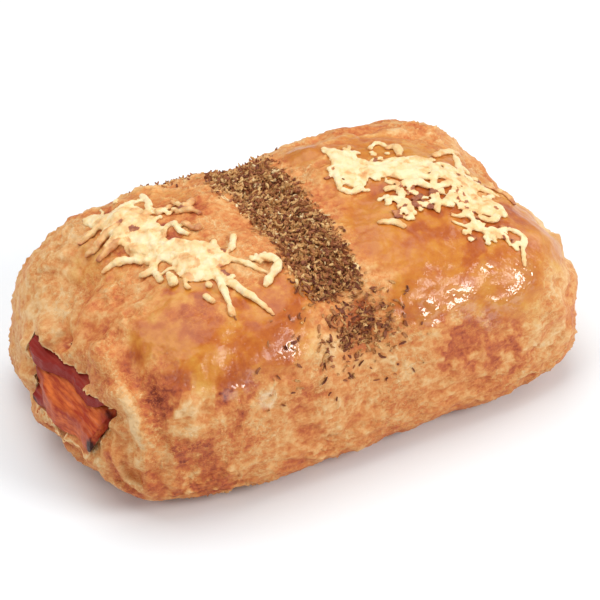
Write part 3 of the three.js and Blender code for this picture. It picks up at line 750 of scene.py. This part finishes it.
def crustMaterial():
    colors = crustColors
    material, tree, shader = newMaterial("bakedPuffPastry")
    place = placeSocket(tree)
    squashed = squashSocket(tree, place, colors["squash"])
    glaze = attributeSocket(tree, "glaze")
    matte = mathSocket(tree, "MULTIPLY_ADD", glaze, -colors["glazeCalm"], 1)
    # the colour value read here holds browning together with painted shade and painted light
    shade, lines, height = attributeSocket(tree, "bakeShadeAndLight"), 0, 0
    for name, (scale, detail, half, share, high) in colors["patterns"].items():
        pattern = noiseSocket(tree, squashed if name == "flakes" else place, scale, detail, 0.6)
        swing = rangeSocket(tree, pattern, 0.5 - half, 0.5 + half, -share, share)
        shade = mathSocket(tree, "MULTIPLY_ADD", swing, matte, shade)
        height = mathSocket(tree, "MULTIPLY_ADD", pattern, high, height)
    patchy = rangeSocket(tree, noiseSocket(tree, place, 75, 3, 0.5), 0.42, 0.58, 0, 1)
    for scale, width, paling in colors["nets"]:
        away = mathSocket(tree, "SUBTRACT", noiseSocket(tree, squashed, scale, 3, 0.55), 0.5)
        net = rangeSocket(tree, mathSocket(tree, "ABSOLUTE", away), 0, width, 1, 0)
        net = mathSocket(tree, "MULTIPLY", mathSocket(tree, "MULTIPLY", net, patchy), matte)
        shade = mathSocket(tree, "MULTIPLY_ADD", net, -paling, shade)
        lines = mathSocket(tree, "ADD", net, lines)
    height = mathSocket(tree, "MULTIPLY_ADD", lines, colors["lineHeight"], height)
    height = mathSocket(tree, "MULTIPLY", height, matte)
    color = rampSocket(tree, mathSocket(tree, "ADD", shade, 0, clamp=True), colors["ramp"])
    amber = mixColor(tree, 1, color, colors["glazeTint"], "MULTIPLY")
    amberShare = mathSocket(tree, "MULTIPLY", glaze, colors["glazeTintShare"])
    rough, coat = colors["roughness"], colors["coatShare"]
    speck = noiseSocket(tree, place, 900, 3, 0.7)
    speck = mathSocket(tree, "MULTIPLY_ADD", speck, rough["swing"], -rough["swing"] / 2)
    gloss = rangeSocket(tree, glaze, 0, 1, rough["matte"], rough["glaze"])
    even = mathSocket(tree, "MULTIPLY", glaze, coat["even"])
    glints = mathSocket(tree, "MULTIPLY", attributeSocket(tree, "sparkle"), coat["sparkle"])
    bubbles = noiseSocket(tree, place, colors["bubbles"]["scale"], 2, 0.5)
    setInputs(shader, {
        **colors["shader"],
        "Base Color": mixColor(tree, amberShare, color, amber),
        "Roughness": mathSocket(tree, "ADD", gloss, speck, clamp=True),
        "Coat Weight": mathSocket(tree, "MAXIMUM", even, glints),
        "Normal": bumpSocket(tree, height, colors["bump"]),
        "Coat Normal": bumpSocket(tree, bubbles, colors["bubbles"]["bump"]),
    })
    return material


hamColors = {
    "flesh": (0.72, 0.165, 0.034, 1),
    "fleshDark": (0.38, 0.038, 0.012, 1),
    # the dark colour of the painted shade on the ham
    "shadeAndDarkEdges": (0.26, 0.017, 0.01, 1),
    "char": (0.04, 0.006, 0.003, 1),
    "squash": (1, 0.16, 1),
    "shader": {"Roughness": 0.4, "Specular IOR Level": 0.2},
    "bump": {"Strength": 0.6, "Distance": 0.0007},
}


def hamMaterial():
    colors = hamColors
    material, tree, shader = newMaterial("bakedHam")
    place = placeSocket(tree)
    streaks = noiseSocket(tree, squashSocket(tree, place, colors["squash"]), 900, 4, 0.6)
    blotch = noiseSocket(tree, place, 200, 3, 0.5)
    streakShare = rangeSocket(tree, streaks, 0.36, 0.62, 0, 1)
    color = mixColor(tree, streakShare, colors["fleshDark"], colors["flesh"])
    # painted shade on the tucked slices
    color = mixColor(tree, attributeSocket(tree, "shadeAndDarkEdges"), color, colors["shadeAndDarkEdges"])
    char = rangeSocket(tree, blotch, 0.4, 0.6, -0.2, 0.2)
    char = mathSocket(tree, "ADD", char, attributeSocket(tree, "char"))
    height = mathSocket(tree, "MULTIPLY_ADD", streaks, 0.6, mathSocket(tree, "MULTIPLY", blotch, 0.4))
    setInputs(shader, {
        **colors["shader"],
        "Base Color": mixColor(tree, rangeSocket(tree, char, 0.5, 0.95, 0, 1), color, colors["char"]),
        "Normal": bumpSocket(tree, height, colors["bump"]),
    })
    return material


cheeseColors = {
    "ramp": [
        (0, 0.88, 0.72, 0.44), (0.25, 0.83, 0.59, 0.28), (0.5, 0.72, 0.38, 0.14),
        (0.75, 0.5, 0.18, 0.065), (1, 0.27, 0.07, 0.03),
    ],
    "shader": {
        "Roughness": 0.42,
        "Subsurface Weight": 0.15,
        "Subsurface Radius": (1, 0.6, 0.25),
        "Subsurface Scale": 0.0012,
    },
    "bump": {"Strength": 0.35, "Distance": 0.0004},
}


def cheeseMaterial():
    colors = cheeseColors
    material, tree, shader = newMaterial("meltedCheese")
    mottle = noiseSocket(tree, placeSocket(tree), 600, 4, 0.6)
    shade = mathSocket(tree, "MULTIPLY_ADD", mottle, 0.5, -0.25)
    # the toast value also holds painted shade at the cheese's foot
    shade = mathSocket(tree, "ADD", attributeSocket(tree, "toastAndShade"), shade, clamp=True)
    setInputs(shader, {
        **colors["shader"],
        "Base Color": rampSocket(tree, shade, colors["ramp"]),
        "Normal": bumpSocket(tree, mottle, colors["bump"]),
    })
    return material


herbColors = {
    "ramp": [
        (0, 0.16, 0.036, 0.014), (0.3, 0.34, 0.11, 0.036), (0.6, 0.52, 0.255, 0.08),
        (0.85, 0.74, 0.48, 0.2), (1, 0.88, 0.74, 0.45),
    ],
    "roughness": 0.7,
}


def herbMaterial():
    material, tree, shader = newMaterial("driedHerbs")
    tone = mathSocket(tree, "SUBTRACT", attributeSocket(tree, "tone"), 0.15)
    veins = noiseSocket(tree, placeSocket(tree), 1800, 3, 0.6)
    shade = mathSocket(tree, "MULTIPLY_ADD", veins, 0.3, tone, clamp=True)
    color = rampSocket(tree, shade, herbColors["ramp"])
    setInputs(shader, {"Base Color": color, "Roughness": herbColors["roughness"]})
    return material


crust = makeCrust()
fillBase(crust)
crustTree = BVHTree.FromObject(crust, bpy.context.evaluated_depsgraph_get())


def meet(origin, direction):
    point, normal, _, _ = crustTree.ray_cast(origin * mm, direction)
    return np.array(point) / mm, normal


def above(x, y):  # the point in millimetres and the normal where a plumb line meets the crust
    return meet(Vector((x, y, 100)), Vector((0, 0, -1)))


def crustUnder(points):
    return np.array([above(x, y)[0][2] for x, y in points[:, :2]])


def around(x, degrees):  # the same for a line that comes in at an angle round the long axis
    out = Vector((0, -math.sin(math.radians(degrees)), math.cos(math.radians(degrees))))
    return meet(Vector((x, 0, crustForm["girthLevel"])) + out * 160, -out)


cutOpenings(crust)
smoothShade(crust, 70)
finishPiece(crust, crustMaterial(), ["crust"])

ham = hamMaterial()
for slice in hamForm["slices"]:
    finishPiece(makeSlice(slice), ham, [slice["name"]])


# melted grated cheese: shreds, bits and crumbs over flat pools, melted into one skin

cheeseForm = {
    # level: how high one may lie on the others
    "shred": {
        "radius": 1, "spread": (0.75, 1.15), "tip": 0.5, "level": 0.25,
        "sink": 0.35, "lift": 0.9, "step": 0.9, "wobble": 0.4,
    },
    "bits": {"long": (1.5, 4.5), "radius": 0.62, "level": 0.7, "toasted": 0.45},
    "crumbs": {"long": (0.7, 2), "radius": 0.75, "level": 0.2, "toastedShare": 0.25},
    # foot: painted shade where the cheese meets the crust
    "toastAndShade": {"all": 0.7, "ends": 0.45, "pool": 0.15, "spot": 0.15, "blotch": 0.32, "footShade": 0.26},
    "pool": {"thick": 1.2, "lobes": 3, "lobeShare": 0.2},
    "gap": 0.3,
    "voxel": 0.3,
    "rough": [(0.3, 2, 3, 5.0), (0.14, 0.9, 2, 8.0)],  # rise, size, octaves, shift
}

leftHeap = {
    "name": "cheese_left",
    "seed": 7,
    "settled": 0.8,  # share of its height that the melted cheese keeps
    "pools": [(-37, 18, 7.5, 5.5, 120), (-35, 7, 8, 4.6, 75), (-30, -6, 9, 6, 110)],
    # how toasted, then x and y of each place that the shred passes
    "shreds": [
        (0.15, -27, -10, -29, -18, -30, -23, -31, -27),
        (0.35, -27, -12, -27, -18, -25, -22, -23, -26, -22, -30), (0.3, -27, -17, -26, -20, -25, -23),
        (0.25, -24, -9, -20, -15, -17, -19), (0.05, -19, -13, -14, -16, -14, -18, -20, -22),
        (0.1, -18, -4, -20, -7, -22, -9), (0.1, -23, -3, -24, -6, -24, -9),
        (0.1, -33, 0, -34, 6, -38, 10), (0.2, -48, 5, -45, 5, -41, 3, -37, -1),
        (0.2, -42, -2, -39, -3, -34, 1), (0.1, -38, -1, -39, -5, -39, -8), (0.2, -37, -7, -38, -12),
        (0, -36, 2, -35, -3, -34, -6), (0.1, -28, 23, -32, 22, -36, 21, -42, 16),
        (0.25, -33, 22, -38, 17, -43, 14), (0.3, -33, 17, -37, 14, -41, 12, -45, 10),
        (0.6, -38, 15, -43, 14, -47, 12), (0.45, -37, 21, -42, 19, -48, 17),
        (0.6, -41, 15, -45, 13, -48, 13), (0.65, -39, 10, -43, 10, -47, 9),
        (0.2, -32, 8, -28, 8, -28, 4, -27, 1), (0.5, -29, 18, -28, 15, -24, 16),
        (0.75, -23, 18, -22, 13, -19, 14), (0.7, -25, 12, -22, 10, -21, 7),
        (0.8, -26, 6, -25, 2, -23, 3), (0.1, -27, 26, -28, 20, -30, 16),
        (0.2, -30, 13, -33, 10, -35, 9), (0, -29, -6, -27, -9, -23, -10), (0.4, -32, -16, -31, -17),
        (0.4, -34, -19, -33, -22), (0.5, -40, 6, -37, 2), (0.3, -39.5, 12, -36, 12.8, -33, 13.5),
    ],
    "bits": 18,
    # x, y, reach, count
    "crumbs": [
        (-25, -8, 4, 6), (-33, 3, 4, 6), (-26, 14, 4, 6), (-39, 14, 4, 6), (-26, -16, 2, 4),
        (-16, -15, 3, 4),
    ],
    "toasted": (-46, 12, 7),
}

rightHeap = {
    "name": "cheese_right",
    "seed": 23,
    "settled": 0.64,
    "pools": [(20, 7, 8, 4, 100), (31, 1, 8, 4.5, 0), (41, -7, 8, 3.8, -70), (42, -18, 4.5, 3.2, -20)],
    "shreds": [
        (0, 17, 12, 21, 12, 25, 11), (0, 23, 11, 21, 6, 18, 1), (0.05, 17, 10, 15, 5, 13, 0),
        (0, 13, 0, 15, -2, 18, -1), (0.1, 24, 8, 26, 5, 31, 5), (0.1, 19, 12, 17, 6, 16, 0),
        (0.2, 14.5, 2, 17, 1, 19, 0), (0.3, 15, 5, 18, 4, 20, 2), (0.05, 21, 9, 18.5, 4, 17, -1),
        (0.1, 21, 4, 25, 3, 27, -1), (0.1, 28, 12, 32, 15, 33, 12), (0.5, 32, 11, 35, 11, 33, 6),
        (0.1, 28, 2, 33, 4, 35, 1, 41, 3), (0.1, 27, -2, 31, -1, 34, -5, 40, -4),
        (0.15, 26, -6, 30, -5, 33, -9, 39, -8), (0.1, 34, 2, 31, -4, 27, -8),
        (0.1, 39, 2, 37, -4, 33, -9), (0.1, 42, 0, 41, -6, 38, -11), (0.5, 42, 5, 48, 9, 55, 12),
        (0.15, 51, 9, 47, 1, 42, -9), (0.2, 46, -1, 46, -9, 50, -13), (0.2, 42, -9, 38, -13, 33, -15),
        (0.15, 31, -21, 34, -23, 39, -26, 44, -26, 47, -28, 45, -31, 43, -35),
        (0.1, 38, -26, 41, -27, 43, -27), (0.2, 22, -5, 25, -6, 24, -10, 21, -9),
        (0.3, 21, -13, 24, -12, 23, -16), (0.3, 14, -16, 17, -17, 19, -20),
        (0.3, 32, -12, 31, -15, 29, -18), (0.3, 32, -16, 36, -13, 38, -15),
        (0.2, 32, -19, 35, -20, 39, -17), (0.2, 42, -13, 44, -15, 48, -13),
        (0.2, 39, -20, 41, -23, 46, -20), (0.3, 44, -16, 46, -18, 46, -22),
        (0.7, 50, -5, 53, -10, 53, -15),
    ],
    "bits": 60,
    "crumbs": [
        (21.5, -9, 2.6, 8), (21.5, -14.5, 3.2, 14), (28, -14, 3, 12), (34, -13, 3, 12),
        (36.5, -17, 3.2, 14), (36, -22, 2.8, 8), (33.5, -26, 2, 5), (38, -28, 2.4, 7),
        (41, -26, 2.4, 6), (43.5, -30, 2, 5), (26, -9, 3, 8), (40, -12, 4, 12), (45, -16, 3, 8),
        (14, 6, 3, 6), (28, 9, 3, 6), (46, -6, 3, 8), (50, 2, 3, 6),
    ],
    "toasted": (52, -6, 6),
}


def bitsOver(patch, random):  # short broken pieces over the pools
    form, shreds = cheeseForm["bits"], []
    for i in range(patch["bits"]):
        x, y, halfLong, halfWide, turn = patch["pools"][i % len(patch["pools"])]
        along = (random() * 2 - 1) * halfLong * 0.95
        aside = (random() * 2 - 1) * halfWide * 1.15
        heading, bend = random() * 360, (random() * 2 - 1) * 90
        long = mix(*form["long"], random())
        away, across = turned(along, aside, turn)
        line = [Vector((x + away, y + across))]
        for k in range(3):
            angle = math.radians(heading + bend * k / 2)
            line.append(line[-1] + Vector((math.cos(angle), math.sin(angle))) * long / 3)
        shreds.append((form["toasted"] * random(), *[value for place in line for value in place]))
    return shreds


def crumbsOf(patch, random):  # crumbs of cheese round the pools, some of them toasted
    form, crumbs = cheeseForm["crumbs"], []
    for x, y, reach, count in patch["crumbs"]:
        for _ in range(count):
            away, angle = reach * random() ** 0.6, 2 * math.pi * random()
            place = Vector((x + away * math.cos(angle), y + away * math.sin(angle)))
            heading = 2 * math.pi * random()
            half = Vector((math.cos(heading), math.sin(heading))) * mix(*form["long"], random()) / 2
            toasted = 1.3 if random() < form["toastedShare"] else 0.3 * random()
            crumbs.append((toasted, *(place - half), *place, *(place + half)))
    return crumbs


def smoothLine(places):  # a rounded line through the places, at even steps
    count = len(places)
    padded = [np.array(places[max(0, min(count - 1, k))], float) for k in range(-1, count + 1)]
    line = []
    for k in range(1, count):
        a, b, c, d = padded[k - 1:k + 3]
        steps = max(2, round(np.linalg.norm(c - b) / cheeseForm["shred"]["step"]))
        for i in range(steps + (k == count - 1)):
            t = i / steps
            bend = (2 * a - 5 * b + 4 * c - d) * t ** 2 + (3 * b - a - 3 * c + d) * t ** 3
            line.append(0.5 * (2 * b + (c - a) * t + bend))
    return line


def addShred(places, level, radius, seed):
    form = cheeseForm["shred"]
    line = smoothLine(places)
    curve = bpy.data.curves.new("shred", "CURVE")
    curve.dimensions = "3D"
    curve.bevel_depth = mm
    curve.bevel_resolution = 2
    curve.use_fill_caps = True
    spline = curve.splines.new("POLY")
    spline.points.add(len(line) - 1)
    spots = []
    for i, (x, y) in enumerate(line):
        share = math.sin(math.pi * (i + 0.6) / (len(line) + 0.2))
        lump = 1 + form["wobble"] * noise.noise(Vector((i * 0.5, seed, 0.3)))
        thick = mix(form["tip"], radius, share ** 0.5) * lump
        z = above(x, y)[0][2] + thick - form["sink"] + level * form["lift"] * share
        spline.points[i].co = (x * mm, y * mm, z * mm, 1)
        spline.points[i].radius = thick
        spots.append(((x, y, z), 1 - share))
    piece = bpy.data.objects.new("shred", curve)
    bpy.context.scene.collection.objects.link(piece)
    return piece, spots


def addPool(x, y, halfLong, halfWide, turn):
    bpy.ops.mesh.primitive_ico_sphere_add(subdivisions=4, radius=1, location=(0, 0, 0))
    piece = bpy.context.object
    unit = readPoints(piece.data) * mm
    form = cheeseForm["pool"]
    swell = 1 + form["lobeShare"] * np.sin(form["lobes"] * np.arctan2(unit[:, 1], unit[:, 0]) + x)
    swell = swell * (1 + 0.16 * noiseAt(unit, 0.35, 3, x))
    along, across = turned(unit[:, 0] * halfLong * swell, unit[:, 1] * halfWide * swell, turn)
    points = np.stack([x + along, y + across, cheeseForm["gap"] + form["thick"] * unit[:, 2]], axis=1)
    points[:, 2] += crustUnder(points)
    writePoints(piece.data, points)
    return piece


def makeCheese(patch):
    form, shares = cheeseForm, cheeseForm["toastAndShade"]
    random = seededRandom(patch["seed"])
    groups = {"shred": patch["shreds"], "bits": bitsOver(patch, random), "crumbs": crumbsOf(patch, random)}
    spots, parts = [], []
    for kind, lines in groups.items():
        radius, level = form[kind]["radius"], form[kind]["level"]
        for toasted, *flat in lines:
            high = level * random()
            thick = radius * mix(*form["shred"]["spread"], random())
            part, ends = addShred(list(zip(flat[::2], flat[1::2])), high, thick, len(parts) * 3.7)
            parts.append(part)
            spots += [(place, toasted + shares["ends"] * end ** 2) for place, end in ends]
    selectOnly(*parts)
    bpy.ops.object.convert(target="MESH")
    parts = list(bpy.context.selected_objects) + [addPool(*pool) for pool in patch["pools"]]
    selectOnly(*parts)
    bpy.ops.object.join()
    piece = parts[0]
    piece.name = piece.data.name = patch["name"] + "_melted"
    applyModifier(piece, "REMESH", mode="VOXEL", voxel_size=form["voxel"] * mm)
    applyModifier(piece, "SMOOTH", factor=0.5, iterations=3)
    mesh = piece.data
    points = readPoints(mesh)
    rough = sum(rise * noiseAt(points, *values) for rise, *values in form["rough"])
    points = points + readNormals(mesh) * rough[:, None]
    floor = crustUnder(points)
    height = points[:, 2] - floor
    points[:, 2] = floor + np.where(height > 0, height * patch["settled"], height)
    writePoints(mesh, points)
    tree = kdtree.KDTree(len(spots))
    for i, (place, _) in enumerate(spots):
        tree.insert(place, i)
    tree.balance()
    found = [tree.find(p) for p in points.tolist()]
    toastAndShade = np.array([spots[index][1] if distance < 2 else shares["pool"] for _, index, distance in found])
    x, y, reach = patch["toasted"]
    toastAndShade += shares["spot"] * bell(np.hypot(points[:, 0] - x, points[:, 1] - y) / reach)
    toastAndShade = shares["all"] * toastAndShade + shares["blotch"] * noiseAt(points, 3, 3, 2.0)
    # painted shade: darker where the cheese sits low on the crust
    writeAttribute(mesh, "toastAndShade", toastAndShade + shares["footShade"] * smooth(0.6, 0.1, height))
    smoothShade(piece)
    return piece


cheese = cheeseMaterial()
for patch in (leftHeap, rightHeap):
    finishPiece(makeCheese(patch), cheese, [patch["name"]])


# dried herbs

herbForm = {
    "seed": 5,
    "count": 4300,
    "size": (0.5, 1.4),
    "long": (0.48, 0.9),  # half lengths and half widths of a flake of size 1
    "wide": (0.12, 0.375),
    "pile": 1.4,
    "lowest": 0.15,
    "lean": 0.6,
    "tone": (1.5, 1.7),
    "redder": 0.12,
    "scraps": [(0.5, 0.2), (-0.35, 0.4), (0.15, -0.3)],  # how bent, how lopsided
    "reach": {"x": (-32, 14), "degrees": (-62, 82)},
}


def herbDensity(x, degrees, y, z):
    place = Vector((x, y, z))
    patchy = noise.noise(place * 0.16) + 0.6 * noise.noise(place * 0.45)
    band = 1 - smooth(3.5, 10.5, abs(x + 3 - 0.06 * y) + 2.6 * patchy)
    band = band * smooth(-50, -28, degrees) * (1 - smooth(42, 48, degrees))
    patch = 0.6 * bell((x + 1.5) / 7) * bell((degrees - 57) / 7.5)
    stray = 0.04 * bell((x + 6) / 15) * smooth(38, 50, degrees) * (1 - smooth(72, 80, degrees))
    back = 0.1 * bell((x + 9) / 15) * (1 - smooth(-46, -40, degrees))
    return max(band, patch, stray, back)


def leafScrap(bend, notch):  # a small curled leaf scrap, a few faces, modelled once
    bpy.ops.mesh.primitive_grid_add(x_subdivisions=3, y_subdivisions=2, size=2, location=(0, 0, 0))
    piece = bpy.context.object
    points = readPoints(piece.data) * mm
    x, y = points[:, 0].copy(), points[:, 1].copy()
    points[:, 1] = y * (1 - 0.75 * np.abs(x) ** 2) * (1 + notch * x)
    points[:, 2] = bend * (x * x - 0.4) + 0.5 * bend * np.abs(y)
    writePoints(piece.data, points)
    applyModifier(piece, "SOLIDIFY", thickness=0.3 * mm, offset=0)
    shape = readPoints(piece.data)
    faces = [tuple(face.vertices) for face in piece.data.polygons]
    bpy.data.objects.remove(piece)
    return shape, faces


def makeHerbs():
    form = herbForm
    rng = np.random.default_rng(form["seed"])
    shapes = [leafScrap(*scrap) for scrap in form["scraps"]]
    vertices, faces, tones = [], [], []
    total = 0
    while len(tones) < form["count"]:
        x, degrees = rng.uniform(*form["reach"]["x"]), rng.uniform(*form["reach"]["degrees"])
        point, normal = around(x, degrees)
        density = herbDensity(x, degrees, point[1], point[2])
        if rng.random() > density:
            continue
        shape, shapeFaces = shapes[rng.integers(3)]
        size = rng.uniform(*form["size"])
        scale = [size * rng.uniform(*form["long"]), size * rng.uniform(*form["wide"]), size]
        lift = form["pile"] * rng.random() ** 1.5 * smooth(0.4, 1, density) + form["lowest"]
        lean = Quaternion(Vector(rng.normal(size=3)).normalized(), rng.normal(0, form["lean"]))
        turn = normal.to_track_quat("Z", "Y") @ Quaternion((0, 0, 1), rng.uniform(0, 2 * math.pi)) @ lean
        moved = shape * scale @ np.array(turn.to_matrix()).T
        vertices.append(moved + point + np.array(normal) * lift)
        faces += [tuple(total + k for k in face) for face in shapeFaces]
        red = form["redder"] * smooth(20, 60, degrees)
        tones.append(np.full(len(shape), rng.beta(*form["tone"]) - red))
        total += len(shape)
    mesh = bpy.data.meshes.new("herb_flakes")
    mesh.from_pydata((np.concatenate(vertices) * mm).tolist(), [], faces)
    piece = bpy.data.objects.new("herb_flakes", mesh)
    bpy.context.scene.collection.objects.link(piece)
    writeAttribute(mesh, "tone", np.concatenate(tones))
    return piece


finishPiece(makeHerbs(), herbMaterial())
